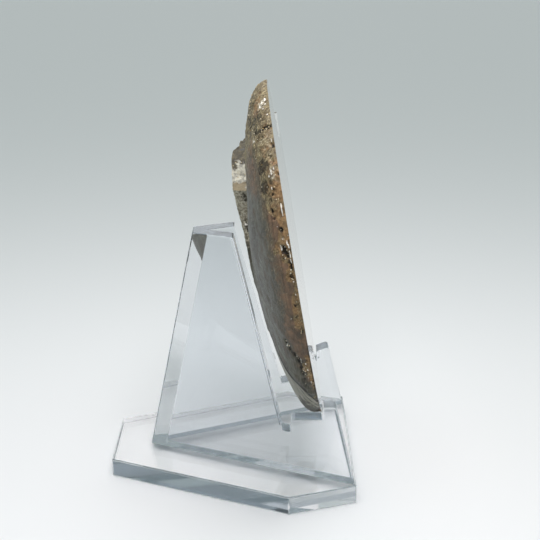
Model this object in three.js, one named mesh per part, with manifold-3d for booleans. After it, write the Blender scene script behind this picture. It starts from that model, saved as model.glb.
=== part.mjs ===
// Half of a cut and polished ammonite, standing on a clear acrylic display stand.
// Millimetres, +Z up. The origin is the middle of the base plate's underside.
// +X is the front, where the flat cut face looks, and the stand is the same on both sides of Y = 0.
// Lengths along X are measured from the base plate's rear edge until the whole model is centred.

import * as THREE from "three";
import { mergeVertices } from "three/addons/utils/BufferGeometryUtils.js";
import Module from "manifold-3d";

const wasm = await Module();
wasm.setup();

// Sheet and joints
const SHEET = 6; // the acrylic sheet that every stand piece is cut from
const JOINT_GAP = 0.3; // the glue line under the upright

// Base plate, a six-sided outline
const BASE_LENGTH = 79.2;
const BASE_REAR_WIDTH = 32.8;
const BASE_WIDEST = 87.2;
const BASE_WIDEST_AT = 57.9;
const BASE_FRONT_WIDTH = 71.8;

// Upright, two arms that meet in a narrow web at the rear
const UPRIGHT_TOP = 79.8;
const UPRIGHT_REAR = 12; // rear face of the web, where it meets the base
const REAR_LEAN = THREE.MathUtils.degToRad(11.6); // the web leans forward
const ARM_SPREAD = THREE.MathUtils.degToRad(25.2); // each arm, away from the X axis
const WEB_WIDTH = 7.8;
const CORNER = 1.2; // radius of the web's rear corners

// Front of the arms, seen from the side
const TOP_FRONT = 40.5; // front end of the arms' top edge
const SLOPE_FOOT = 56.3; // the long sloping edge ends here
const SLOPE_FOOT_Z = 19.2;
const NOTCH_WIDTH = 2.4;
const LEDGE_REAR = 58.8;
const LEDGE_REAR_Z = 23;
const LEDGE_FRONT = 69;
const LEDGE_TILT = THREE.MathUtils.degToRad(11.6);
const LIP_HEIGHT = 4;
const LIP_DEPTH = 4;
const LIP_ROUND = 1.2;
const ARM_FRONT_FOOT = 78.7;

// Ammonite, measured about the axis of its coil
const COIL_AXIS_X = 58.85; // on the cut face
const COIL_AXIS_Y = -6.8;
const COIL_AXIS_Z = 84.3;
const LEAN = THREE.MathUtils.degToRad(9.5); // the cut face leans back
const SIDE_RADIUS = 53.7; // outer radius where the coil points towards -Y
const COIL_GROWTH = 0.105; // growth of the radius for each radian of coil
const WIDTH_GROWTH = 0.0945; // growth of the thickness for each radian of coil
const WHORLS = 4;
const COIL_END = THREE.MathUtils.degToRad(206.5); // the broken mouth, from -Y and down round the bottom
const MOUTH_SLANT = THREE.MathUtils.degToRad(9.5); // the outer half of the mouth is broken further back
const MOUTH_CORNER = THREE.MathUtils.degToRad(8); // and so is its corner at the shoulder
const MOUTH_REACH = THREE.MathUtils.degToRad(60); // both fade out this far round from the mouth
const MOUTH_ROUGHNESS = THREE.MathUtils.degToRad(1);
const MOUTH_RIPPLE = 0.9; // radians of ripple for each millimetre out from the coil's axis
const MOUTH_FOOT = 1; // the broken mouth stops this far outside the whorl under it

// Section of one whorl, as shares of its outer radius
const SEAM = 0.27; // where a whorl meets the one inside it
const SHOULDER = 0.315; // the edge of the hollow at the middle of the coil
const SHOULDER_HEIGHT = 0.242; // thickness there, from the cut face
const FLANK_TAPER = 0.106; // how fast the side falls towards the outer edge
const BREAK_FROM = 0.46; // the mouth's break at the shoulder ends here and the outer break begins
const BREAK_TO = 0.85; // the outer break is deepest from here out
const ROUND_FROM = 0.48; // the side starts to round over into the outer edge
const ROUND_POWER = 0.352;

// Mesh fineness
const TURN_STEPS = 90;
const WALL_STEPS = 3;
const SIDE_STEPS = 3;
const OUTER_STEPS = 9;

const acrylic = new THREE.MeshStandardMaterial({
  color: "#dfe8ea",
  roughness: 0.05,
  metalness: 0,
  transparent: true,
  opacity: 0.35,
});
const fossilShell = new THREE.MeshStandardMaterial({
  color: "#6b5c4a",
  roughness: 0.35,
  metalness: 0,
});

// A closed geometry as a solid that can be joined and cut.
function solidOf(geometry) {
  const bare = geometry.clone();
  bare.deleteAttribute("normal");
  bare.deleteAttribute("uv");
  const merged = mergeVertices(bare, 1e-4);
  return new wasm.Manifold(
    new wasm.Mesh({
      numProp: 3,
      vertProperties: merged.attributes.position.array,
      triVerts: new Uint32Array(merged.index.array),
    }),
  );
}

// A solid back to a geometry that can be drawn.
function geometryOf(solid) {
  const mesh = solid.getMesh();
  const geometry = new THREE.BufferGeometry();
  const positions = new THREE.BufferAttribute(mesh.vertProperties, mesh.numProp);
  geometry.setAttribute("position", positions);
  geometry.setIndex(new THREE.BufferAttribute(mesh.triVerts, 1));
  geometry.computeVertexNormals();
  return geometry;
}

function namedMesh(name, geometry, material) {
  const mesh = new THREE.Mesh(geometry, material);
  mesh.name = name;
  return mesh;
}

function makeBase() {
  const rear = BASE_REAR_WIDTH / 2;
  const widest = BASE_WIDEST / 2;
  const front = BASE_FRONT_WIDTH / 2;
  const outline = new THREE.Shape();
  outline.moveTo(0, -rear);
  outline.lineTo(BASE_WIDEST_AT, -widest);
  outline.lineTo(BASE_LENGTH, -front);
  outline.lineTo(BASE_LENGTH, front);
  outline.lineTo(BASE_WIDEST_AT, widest);
  outline.lineTo(0, rear);
  const plate = new THREE.ExtrudeGeometry(outline, { depth: SHEET, bevelEnabled: false });
  return namedMesh("stand_base", plate, acrylic);
}

// Plan of the upright at base level: a V with its point cut to a narrow web.
function uprightPlan() {
  const reach = BASE_LENGTH + UPRIGHT_REAR;
  const outerRise = Math.tan(ARM_SPREAD) * reach;
  const thicknessAcross = SHEET / Math.cos(ARM_SPREAD);
  const halfWeb = WEB_WIDTH / 2;
  const creaseX = (thicknessAcross - halfWeb) / Math.tan(ARM_SPREAD);
  const plan = new THREE.Shape();
  plan.moveTo(0, halfWeb - CORNER);
  plan.quadraticCurveTo(0, halfWeb, CORNER * Math.cos(ARM_SPREAD), halfWeb + CORNER * Math.sin(ARM_SPREAD));
  plan.lineTo(reach, halfWeb + outerRise);
  plan.lineTo(reach, halfWeb + outerRise - thicknessAcross);
  plan.lineTo(creaseX, 0);
  plan.lineTo(reach, thicknessAcross - halfWeb - outerRise);
  plan.lineTo(reach, -halfWeb - outerRise);
  plan.lineTo(CORNER * Math.cos(ARM_SPREAD), -halfWeb - CORNER * Math.sin(ARM_SPREAD));
  plan.quadraticCurveTo(0, -halfWeb, 0, CORNER - halfWeb);
  return plan;
}

// Side view of the upright: long slope, notch, tilted ledge and the lip that the fossil stands against.
function uprightProfile() {
  const bottom = SHEET + JOINT_GAP;
  const ledgeRise = (x) => LEDGE_REAR_Z + (x - LEDGE_REAR) * Math.tan(LEDGE_TILT);
  const lipInnerTop = ledgeRise(LEDGE_FRONT) + LIP_HEIGHT;
  const lipFrontTop = lipInnerTop + LIP_DEPTH * Math.tan(LEDGE_TILT);
  const lipFront = LEDGE_FRONT + LIP_DEPTH;
  const profile = new THREE.Shape();
  profile.moveTo(-BASE_LENGTH, bottom);
  profile.lineTo(ARM_FRONT_FOOT, bottom);
  profile.lineTo(lipFront + LIP_ROUND / 4, lipFrontTop - LIP_ROUND);
  profile.quadraticCurveTo(lipFront, lipFrontTop, lipFront - LIP_ROUND, lipFrontTop - LIP_ROUND / 4);
  profile.lineTo(LEDGE_FRONT + LIP_ROUND / 2, lipInnerTop);
  profile.lineTo(LEDGE_FRONT, lipInnerTop - LIP_ROUND / 2);
  profile.lineTo(LEDGE_FRONT, ledgeRise(LEDGE_FRONT));
  profile.lineTo(LEDGE_REAR, LEDGE_REAR_Z);
  profile.lineTo(LEDGE_REAR, SLOPE_FOOT_Z);
  profile.lineTo(LEDGE_REAR - NOTCH_WIDTH, SLOPE_FOOT_Z);
  profile.lineTo(TOP_FRONT, UPRIGHT_TOP);
  profile.lineTo(-BASE_LENGTH, UPRIGHT_TOP);
  return profile;
}

function makeUpright() {
  const vee = new THREE.ExtrudeGeometry(uprightPlan(), {
    depth: UPRIGHT_TOP + SHEET,
    bevelEnabled: false,
    curveSegments: 4,
  });
  const lean = Math.tan(REAR_LEAN);
  const forward = new THREE.Matrix4().makeShear(0, 0, 0, 0, lean, 0);
  vee.applyMatrix4(forward);
  vee.translate(UPRIGHT_REAR - SHEET * lean, 0, 0);

  const width = BASE_WIDEST * 2;
  const side = new THREE.ExtrudeGeometry(uprightProfile(), {
    depth: width,
    bevelEnabled: false,
    curveSegments: 4,
  });
  side.rotateX(Math.PI / 2);
  side.translate(0, width / 2, 0);

  const solid = solidOf(vee).intersect(solidOf(side));
  return namedMesh("stand_upright", geometryOf(solid), acrylic);
}

const FULL_TURN = 2 * Math.PI;
const outerRadius = (coil) => SIDE_RADIUS * Math.exp(COIL_GROWTH * coil);
const widthScale = (coil) => SIDE_RADIUS * Math.exp(WIDTH_GROWTH * coil);
const COVER = SEAM * Math.exp(COIL_GROWTH * FULL_TURN); // the next whorl covers each whorl from here out
const SEAM_HEIGHT = sideHeight(COVER) / Math.exp(WIDTH_GROWTH * FULL_TURN);

// Thickness of a whorl's side and rounded outer edge, as a share of its size.
function sideHeight(share) {
  const side = SHOULDER_HEIGHT - FLANK_TAPER * (share - SHOULDER);
  const round = Math.max(0, (share - ROUND_FROM) / (1 - ROUND_FROM));
  return side * Math.pow(Math.max(0, 1 - round * round), ROUND_POWER);
}

// The same with the steep wall that drops from the shoulder to the whorl inside.
function sectionHeight(share) {
  if (share >= SHOULDER) return sideHeight(share);
  const up = (share - SEAM) / (SHOULDER - SEAM);
  return SEAM_HEIGHT + (SHOULDER_HEIGHT - SEAM_HEIGHT) * Math.sin((up * Math.PI) / 2);
}

// Shares of the outer radius at which a section is drawn: wall, side as far as the cover, and the rest.
function sectionShares() {
  const shares = [];
  for (let i = 0; i < WALL_STEPS; i += 1) shares.push(SEAM + ((SHOULDER - SEAM) * i) / WALL_STEPS);
  for (let i = 0; i < SIDE_STEPS; i += 1) shares.push(SHOULDER + ((COVER - SHOULDER) * i) / SIDE_STEPS);
  for (let i = 0; i <= OUTER_STEPS; i += 1) {
    shares.push(COVER + (1 - COVER) * Math.sin((Math.PI / 2) * (i / OUTER_STEPS)));
  }
  return shares;
}

// The mouth is broken unevenly: near its direction, the outer half and the shoulder are turned back.
function mouthTurn(radius, direction) {
  const away = Math.abs(Math.atan2(Math.sin(direction - COIL_END), Math.cos(direction - COIL_END)));
  const near = 1 - THREE.MathUtils.smoothstep(away, 0, MOUTH_REACH);
  const share = radius / outerRadius(COIL_END);
  const outer = MOUTH_SLANT * THREE.MathUtils.smoothstep(share, BREAK_FROM, BREAK_TO);
  const inner = MOUTH_CORNER * THREE.MathUtils.smoothstep(share, SEAM / 2, SEAM);
  const corner = inner * (1 - THREE.MathUtils.smoothstep(share, SHOULDER, BREAK_FROM));
  const rough = MOUTH_ROUGHNESS * Math.sin(radius * MOUTH_RIPPLE);
  return near * (outer + corner + rough);
}

// A point of the coil. The cut face is the plane X = 0, and the shell's side faces -X.
function coilPoint(coil, share, height) {
  const radius = share * outerRadius(coil);
  const direction = coil - mouthTurn(radius, coil);
  return [-height, -radius * Math.cos(direction), -radius * Math.sin(direction)];
}

// The half ammonite as one closed surface: the coiled side, the broken mouth and the cut face.
function ammoniteGeometry() {
  const shares = sectionShares();
  const rim = shares.length - 1;
  const cover = WALL_STEPS + SIDE_STEPS; // column where a covered whorl meets the next one's seam
  const rows = WHORLS * TURN_STEPS;
  const lastWhorl = rows - TURN_STEPS;
  const coilAt = (row) => COIL_END + ((row - rows) / TURN_STEPS) * FULL_TURN;
  const points = [];
  const faces = [];
  const known = new Map();

  const addPoint = (point) => points.push(...point) / 3 - 1;
  const vertex = (row, column) => {
    if (column === cover && row <= lastWhorl) return vertex(row + TURN_STEPS, 0);
    const key = row * shares.length + column;
    if (!known.has(key)) {
      const height = sectionHeight(shares[column]) * widthScale(coilAt(row));
      known.set(key, addPoint(coilPoint(coilAt(row), shares[column], height)));
    }
    return known.get(key);
  };
  const addLoop = (loop, flat) => {
    for (const triangle of THREE.ShapeUtils.triangulateShape(flat, [])) {
      faces.push(...triangle.sort((a, b) => a - b).map((corner) => loop[corner]));
    }
  };

  for (let row = 0; row < rows; row += 1) {
    const columns = row < lastWhorl ? cover : rim;
    for (let column = 0; column < columns; column += 1) {
      const a = vertex(row, column);
      const b = vertex(row, column + 1);
      const c = vertex(row + 1, column + 1);
      const d = vertex(row + 1, column);
      faces.push(a, d, b, b, d, c);
    }
  }

  const centre = addPoint([-sectionHeight(SEAM) * widthScale(coilAt(0)), 0, 0]);
  for (let row = 0; row < TURN_STEPS; row += 1) faces.push(centre, vertex(row + 1, 0), vertex(row, 0));
  for (let column = 0; column < cover; column += 1) {
    faces.push(centre, vertex(0, column), vertex(0, column + 1));
  }

  const innerRim = outerRadius(coilAt(lastWhorl));
  const feet = [];
  for (let column = rim - 1; shares[column] * outerRadius(COIL_END) > innerRim + MOUTH_FOOT; column -= 1) {
    feet.push({ share: shares[column], index: addPoint(coilPoint(COIL_END, shares[column], 0)) });
  }

  const wall = [];
  const wallFlat = [];
  const addWall = (index, radius, height) => {
    wall.push(index);
    wallFlat.push(new THREE.Vector2(radius, height));
  };
  const addSection = (row, column) => {
    const height = sectionHeight(shares[column]) * widthScale(coilAt(row));
    addWall(vertex(row, column), shares[column] * outerRadius(coilAt(row)), height);
  };
  for (let column = 0; column <= rim; column += 1) addSection(rows, column);
  for (const foot of feet) addWall(foot.index, foot.share * outerRadius(COIL_END), 0);
  for (let column = rim; column > cover; column -= 1) addSection(lastWhorl, column);
  addLoop(wall.reverse(), wallFlat.reverse());

  const edge = [];
  for (let row = lastWhorl; row <= rows; row += 1) edge.push(vertex(row, rim));
  edge.push(...feet.map((foot) => foot.index));
  const edgeFlat = edge.map((i) => new THREE.Vector2(points[3 * i + 1], points[3 * i + 2]));
  addLoop(edge, edgeFlat);

  const geometry = new THREE.BufferGeometry();
  geometry.setAttribute("position", new THREE.Float32BufferAttribute(points, 3));
  geometry.setIndex(faces);
  geometry.computeVertexNormals();
  return geometry;
}

function makeAmmonite() {
  const mesh = namedMesh("ammonite", ammoniteGeometry(), fossilShell);
  mesh.position.set(COIL_AXIS_X, COIL_AXIS_Y, COIL_AXIS_Z);
  mesh.rotation.y = -LEAN;
  return mesh;
}

const model = new THREE.Group();
model.add(makeBase(), makeUpright(), makeAmmonite());
model.position.x = -BASE_LENGTH / 2;

export default model;
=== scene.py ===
"""Half of a cut and polished ammonite on its clear acrylic stand: looks, light and camera."""

import math

import bmesh
import bpy
import numpy as np
from mathutils import Matrix, Vector
from mathutils.geometry import delaunay_2d_cdt


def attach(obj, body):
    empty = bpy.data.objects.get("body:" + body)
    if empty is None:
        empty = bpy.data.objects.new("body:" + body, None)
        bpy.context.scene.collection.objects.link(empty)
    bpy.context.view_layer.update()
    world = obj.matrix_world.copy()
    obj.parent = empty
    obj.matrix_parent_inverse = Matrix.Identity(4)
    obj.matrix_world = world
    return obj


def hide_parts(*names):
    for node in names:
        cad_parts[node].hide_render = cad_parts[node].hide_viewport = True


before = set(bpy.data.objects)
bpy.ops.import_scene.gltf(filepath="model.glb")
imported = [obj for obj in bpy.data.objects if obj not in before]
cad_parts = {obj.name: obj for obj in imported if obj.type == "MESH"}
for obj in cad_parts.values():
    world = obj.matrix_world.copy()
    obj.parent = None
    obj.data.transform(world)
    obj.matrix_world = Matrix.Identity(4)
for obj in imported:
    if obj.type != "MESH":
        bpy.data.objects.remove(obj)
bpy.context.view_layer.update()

MM = 0.001
FULL_TURN = 2 * math.pi

# Stand, in millimetres. Lengths along X are from the base plate's rear edge.
BASE_LENGTH = 79.2
BASE_OUTLINE = [(0, 16.4), (57.9, 43.6), (BASE_LENGTH, 35.9)]
SHEET = 6.0
GLUE_LINE = 0.04
UPRIGHT_TOP = 79.8
UPRIGHT_REAR = 12.0
REAR_LEAN = math.radians(11.6)
ARM_SPREAD = math.radians(25.2)
WEB_WIDTH = 7.8
WEB_ROUND = 0.5
TOP_FRONT = 40.5
SLOPE_FOOT = (56.3, 19.2)
LEDGE_REAR = (58.8, 23.2)
LEDGE_FRONT = 68.75
LEDGE_TILT = math.radians(11.6)
LIP_HEIGHT = 4.0
LIP_DEPTH = 4.2
LIP_ROUND = 1.2
ARM_FRONT_FOOT = 78.7
ARM_FRONT_LEAN = 0.25
EDGE_ROUND = 0.45
# The upright is made this much too long at the foot, and cut square there at the end.
FOOT_SPARE = 3.0
# The least area of a face that counts as a side of the plate and not as a part of its rounded edges.
SAWN_AREA = 200
WELD_SLOT, SAWN_SHADED_SLOT = 1, 2

# Coil, in millimetres and radians. A share is a part of the whorl's outer radius.
COIL_AXIS = (58.85, -6.8, 84.3)
LEAN = math.radians(9.5)
SIDE_RADIUS = 53.7
COIL_GROWTH = 0.105
WIDTH_GROWTH = 0.0945
COIL_END = math.radians(206.5)
MOUTH_SLANT = math.radians(9.5)
MOUTH_CORNER = math.radians(8)
MOUTH_REACH = math.radians(60)
SEAM = 0.27
SHOULDER = 0.315
SHOULDER_HEIGHT = 0.242
FLANK_TAPER = 0.106
BREAK_FROM = 0.46
BREAK_TO = 0.80
ROUND_FROM = 0.48
ROUND_POWER = 0.352
COVER = SEAM * math.exp(COIL_GROWTH * FULL_TURN)

# Cut face: chamber walls in one turn, and the coil angle in degrees where the last of them stands
SEPTA_PER_TURN = 17
LAST_SEPTUM = 88

# Coil angle in degrees of the line of stopped growth, where it crosses the outer flank
RIDGE_AT = 43.5

# Mesh fineness
WHORLS = 4
# Degrees along one turn, each with the step up to it. Steps are finest where the camera looks.
TURN_SPANS = [(-153.5, 0), (-72, 0.8), (52, 0.3), (206.5, 0.8)]
WALL_STEPS = 5
SIDE_STEPS = 8
OUTER_STEPS = 54
RIM_STEPS = 28
RIM_ZONE = 0.155
# Points inside the broken mouth and the cut face: their spacing, and how clear of the outline they stay
BREAK_POINTS = (0.55, 0.3)
CUT_POINTS = (4.0, 1.5)
# Millimetres to one unit of the flat faces' map
FLAT_MAP_SIZE = 100
SHELL_SLOT, CUT_SLOT, BREAK_SLOT = 0, 1, 2

# Crystals on the bare rock, in millimetres, and how many stand on a square metre of it
CRYSTAL_SIZES = (0.12, 0.34)
CRYSTAL_DENSITY = 9e5
CRYSTAL_SEED = 11

# What is spread over the fossil's skin, each as one value for each point
LOOKS = ("crust", "worn", "pits", "glint", "dark", "warm", "pale", "later_shell_and_light", "line", "crystals")

# Studio, in metres and watts. The table lies a hair under the base plate, and the soft box hangs above the stand.
FLOOR_GAP = 0.00005
TABLE_REACH = 9
LAMP_PLACE = (0.01, -0.08, 0.38)
LAMP_AIM = (0.01, -0.06, 0)
LAMP_SIZE = (0.28, 0.28)
LAMP_POWER = 1.14
LAMP_TONE = "fff8fb"
ROOM_LOW = "b1bbb9"
ROOM_HIGH = "dfe9e8"
ROOM_STRENGTH = 0.86
# Azimuth from +Y towards +X, elevation, angle of full and of no effect, tone, strength
ROOM_AREAS = [
    (180, 10, 35, 75, "8a9195", 1.0),
    (-95, 35, 18, 40, "e9eeee", 1.0),
    (0, 25, 9, 24, "ffffff", 1.05),
]

# Camera, as solved from the corners of the stand in the photograph. Angles are in radians.
CAMERA_PLACE = (0.011045, -0.379009, 0.182674)
CAMERA_PAN = -0.0042
CAMERA_DIP = 0.29866
CAMERA_ROLL = -0.0015
CAMERA_LENS = 80.65


def smoothstep(x, low, high):
    t = np.clip((x - low) / (high - low), 0, 1)
    return t * t * (3 - 2 * t)


def lattice(i, j, k, seed):
    """A repeatable random value from -1 to 1 for each point of a whole-number lattice."""
    h = (i * 374761393 + j * 668265263 + k * 1440670441 + seed * 144665) & 0xFFFFFFFF
    h = ((h ^ (h >> 13)) * 1274126177) & 0xFFFFFFFF
    return ((h ^ (h >> 16)) & 0xFFFF) / 32767.5 - 1


def noise(points, size, seed=0, octaves=1):
    """Smooth random values from about -1 to 1 with lumps of the given size, at points in the same unit."""
    total, reach, result = 0.0, 1.0, 0.0
    for octave in range(octaves):
        p = points * (2**octave / size) + 31.7 * octave
        cell = np.floor(p).astype(np.int64)
        f = p - cell
        f = f * f * f * (f * (f * 6 - 15) + 10)
        value = 0.0
        for dx in (0, 1):
            for dy in (0, 1):
                for dz in (0, 1):
                    weight = (
                        (f[:, 0] if dx else 1 - f[:, 0])
                        * (f[:, 1] if dy else 1 - f[:, 1])
                        * (f[:, 2] if dz else 1 - f[:, 2])
                    )
                    corner = lattice(cell[:, 0] + dx, cell[:, 1] + dy, cell[:, 2] + dz, seed + octave)
                    value = value + weight * corner
        result = result + reach * value
        total += reach
        reach *= 0.5
    return result / total * 1.6


def add_object(name, mesh):
    obj = bpy.data.objects.new(name, mesh)
    bpy.context.scene.collection.objects.link(obj)
    return obj


# Ammonite


def outer_radius(coil):
    return SIDE_RADIUS * np.exp(COIL_GROWTH * coil)


def side_height(share):
    side = SHOULDER_HEIGHT - FLANK_TAPER * (share - SHOULDER)
    round_off = np.clip((share - ROUND_FROM) / (1 - ROUND_FROM), 0, 1)
    return side * (1 - round_off**2) ** ROUND_POWER


def section_height(share):
    """Thickness of a whorl from the cut face, as a share of its size."""
    seam_height = side_height(COVER) / math.exp(WIDTH_GROWTH * FULL_TURN)
    up = np.clip((share - SEAM) / (SHOULDER - SEAM), 0, 1)
    wall = seam_height + (SHOULDER_HEIGHT - seam_height) * np.sin(up * math.pi / 2)
    return np.where(share < SHOULDER, wall, side_height(np.maximum(share, SHOULDER)))


def along_section(start):
    """Finely spaced shares from a start to the rim, and how far along the section each of them lies."""
    fine = start + (1 - start) * np.sin(math.pi / 2 * np.linspace(0, 1, 4000))
    steps = np.hypot(np.diff(fine), np.diff(section_height(fine)))
    return fine, np.concatenate([[0], np.cumsum(steps)])


def edge_table():
    """Shares and how far each lies from the cut edge along the section, as a share of the outer radius."""
    fine, along = along_section(SEAM)
    return fine, along[-1] - along


def outer_shares():
    """Shares from the cover to the rim, spaced by distance along the rounded section, closer together at the rim."""
    fine, along = along_section(COVER)
    zone = along[-1] - RIM_ZONE
    wanted = np.concatenate([np.linspace(0, zone, OUTER_STEPS + 1), np.linspace(zone, along[-1], RIM_STEPS + 1)[1:]])
    return np.interp(wanted, along, fine)


def turn_angles():
    """Angles of the rows of one turn, in radians, from the mouth's place one turn back up to the mouth."""
    angles = []
    for (start, _), (stop, step) in zip(TURN_SPANS, TURN_SPANS[1:]):
        angles.append(np.linspace(start, stop, round((stop - start) / step) + 1)[:-1])
    return np.radians(np.concatenate(angles))


def mouth_turn(radius, direction):
    """How far the uneven break turns the mouth back, in radians."""
    away = np.abs(np.arctan2(np.sin(direction - COIL_END), np.cos(direction - COIL_END)))
    near = 1 - smoothstep(away, 0, MOUTH_REACH)
    share = radius / outer_radius(COIL_END)
    outer = MOUTH_SLANT * smoothstep(share, BREAK_FROM, BREAK_TO)
    inner = MOUTH_CORNER * smoothstep(share, SEAM / 2, SEAM)
    corner = inner * (1 - smoothstep(share, SHOULDER, BREAK_FROM))
    ripple = math.radians(0.35) * np.sin(radius * 0.43) + math.radians(0.15) * np.sin(radius * 1.3 + 1)
    return near * (outer + corner + ripple)


def coil_points(coil, radius, height):
    """Points about the coil's axis, with the cut face at X = 0 and the coiled side at -X."""
    direction = coil - mouth_turn(radius, coil)
    return np.stack([-height, -radius * np.cos(direction), -radius * np.sin(direction)], -1)


def placed(points):
    """From the coil's own axes in millimetres to the row frame in metres."""
    c, s = math.cos(LEAN), math.sin(LEAN)
    x = points[:, 0] * c - points[:, 2] * s
    z = points[:, 0] * s + points[:, 2] * c
    moved = np.stack([x, points[:, 1], z], -1) + np.array(COIL_AXIS) - [BASE_LENGTH / 2, 0, 0]
    return moved * MM


def face_normals(positions, triangles):
    """Normals of triangles, each twice as long as its triangle's area."""
    a, b, c = (positions[triangles[:, i]] for i in range(3))
    return np.cross(b - a, c - a)


def facing(way, positions, triangles):
    """The triangles as they are, or all turned over where together they look away from a direction."""
    away = (face_normals(positions, triangles) @ way).sum() < 0
    return triangles[:, ::-1] if away else triangles


def vertex_normals(positions, triangles):
    across = face_normals(positions, triangles)
    normals = np.zeros_like(positions)
    for i in range(3):
        np.add.at(normals, triangles[:, i], across)
    return normals / np.maximum(np.linalg.norm(normals, axis=1, keepdims=True), 1e-12)


def fill_outline(outline, inside):
    """Triangles that fill a closed outline of 2D points, with more points inside it. Numbers count through both."""
    flat = [Vector(p) for p in np.concatenate([outline, inside])]
    found = delaunay_2d_cdt(flat, [], [list(range(len(outline)))], 1, 1e-7)
    first = [ids[0] for ids in found[3]]
    return np.array([[first[corner] for corner in face] for face in found[2]])


def inside_points(outline, spacing, margin, seed):
    """Points of a shaken grid that lie inside a closed outline, clear of its edge."""
    random = np.random.default_rng(seed)
    low, high = outline.min(0), outline.max(0)
    steps = [np.arange(start, stop, spacing) for start, stop in zip(low, high)]
    grid = np.stack(np.meshgrid(*steps), -1).reshape(-1, 2)
    grid = grid + random.uniform(-0.25, 0.25, grid.shape) * spacing
    keep = np.zeros(len(grid), bool)
    near = np.full(len(grid), np.inf)
    for p, q in zip(outline, np.roll(outline, -1, 0)):
        crosses = (p[1] > grid[:, 1]) != (q[1] > grid[:, 1])
        rise = q[1] - p[1] if q[1] != p[1] else 1.0
        at = p[0] + (grid[:, 1] - p[1]) * (q[0] - p[0]) / rise
        keep ^= crosses & (grid[:, 0] < at)
        side = q - p
        t = np.clip(((grid - p) @ side) / max(side @ side, 1e-12), 0, 1)
        near = np.minimum(near, np.hypot(*(grid - p - t[:, None] * side).T))
    return grid[keep & (near > margin)]


def coil_grid():
    """The coiled side as rows along the coil and columns across the section, welded where whorls meet."""
    wall = SEAM + (SHOULDER - SEAM) * np.arange(WALL_STEPS) / WALL_STEPS
    side = SHOULDER + (COVER - SHOULDER) * np.arange(SIDE_STEPS) / SIDE_STEPS
    shares = np.concatenate([wall, side, outer_shares()])
    rim, cover = len(shares) - 1, WALL_STEPS + SIDE_STEPS
    turn = turn_angles()
    turn_steps = len(turn)
    rows = WHORLS * turn_steps
    last = rows - turn_steps
    back = FULL_TURN * np.arange(WHORLS - 1, -1, -1)
    coil_of_row = np.append((turn[None, :] - back[:, None]).ravel(), COIL_END)

    own = np.zeros((rows + 1, rim + 1), bool)
    own[: last + 1, :cover] = True
    own[last, cover + 1 :] = True
    own[last + 1 :, :] = True
    ids = -np.ones(own.shape, np.int64)
    ids[own] = np.arange(own.sum())
    ids[: last + 1, cover] = ids[turn_steps:, 0]
    row_of, column_of = np.nonzero(own)
    return dict(
        shares=shares, rim=rim, cover=cover, rows=rows, last=last, ids=ids, turn_steps=turn_steps,
        coil_of_row=coil_of_row, coil=coil_of_row[row_of], share=shares[column_of], column=column_of,
    )


def grid_quads(grid):
    """Four-sided faces of the coiled side, and at each corner the turns along the coil and how far in from the edge."""
    faces, maps = [], []
    inward = np.interp(grid["shares"], *edge_table())
    spans = ((0, grid["last"], grid["cover"]), (grid["last"], grid["rows"], grid["rim"]))
    for start, stop, limit in spans:
        row, column = np.meshgrid(np.arange(start, stop), np.arange(limit), indexing="ij")
        row, column = row.ravel(), column.ravel()
        corners = [(row, column), (row + 1, column), (row + 1, column + 1), (row, column + 1)]
        faces.append(np.stack([grid["ids"][r, c] for r, c in corners], -1))
        turned = [np.stack([grid["coil_of_row"][r] / FULL_TURN, inward[c]], -1) for r, c in corners]
        maps.append(np.stack(turned, 1))
    return np.concatenate(faces), np.concatenate(maps)


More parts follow.
